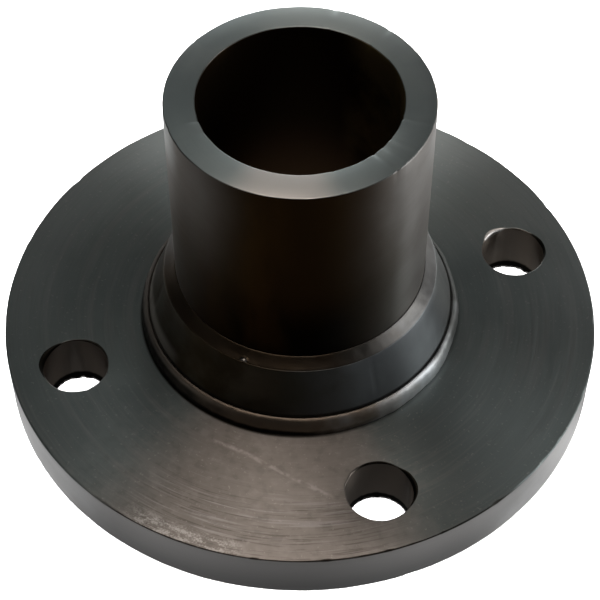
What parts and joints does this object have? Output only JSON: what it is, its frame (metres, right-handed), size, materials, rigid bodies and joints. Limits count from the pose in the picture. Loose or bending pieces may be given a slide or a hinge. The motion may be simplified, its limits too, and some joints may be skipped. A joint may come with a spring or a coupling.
{
  "type": "weld neck flange",
  "caption": "Round bolting flange with a tapered hub and a long pipe neck for butt welding to a line, with a raised gasket face and a through bore.",
  "frame": {"origin": "centre of the raised gasket face, on the bore axis, which is also the lowest point", "axes": "+Z along the bore axis from the gasket face to the welding end of the neck; the bolt holes straddle X and Y"},
  "size_m": [0.1778, 0.1778, 0.105],
  "materials": {
    "plate_steel": "turned steel under a dark rust-preventive varnish, satin",
    "hub_steel": "turned steel under a dark rust-preventive varnish, semi-gloss",
    "pipe_steel": "dark varnished pipe wall, semi-gloss, with a bare cut end",
    "weld_metal": "dressed weld bead under the same dark varnish, semi-gloss"
  },
  "bodies": {
    "root": {"flange_plate": "plate_steel", "hub_collar": "hub_steel", "neck_pipe": "pipe_steel", "foot_weld": "weld_metal", "shoulder_weld": "weld_metal", "gasket_side_weld": "weld_metal"}
  },
  "joints": []
}
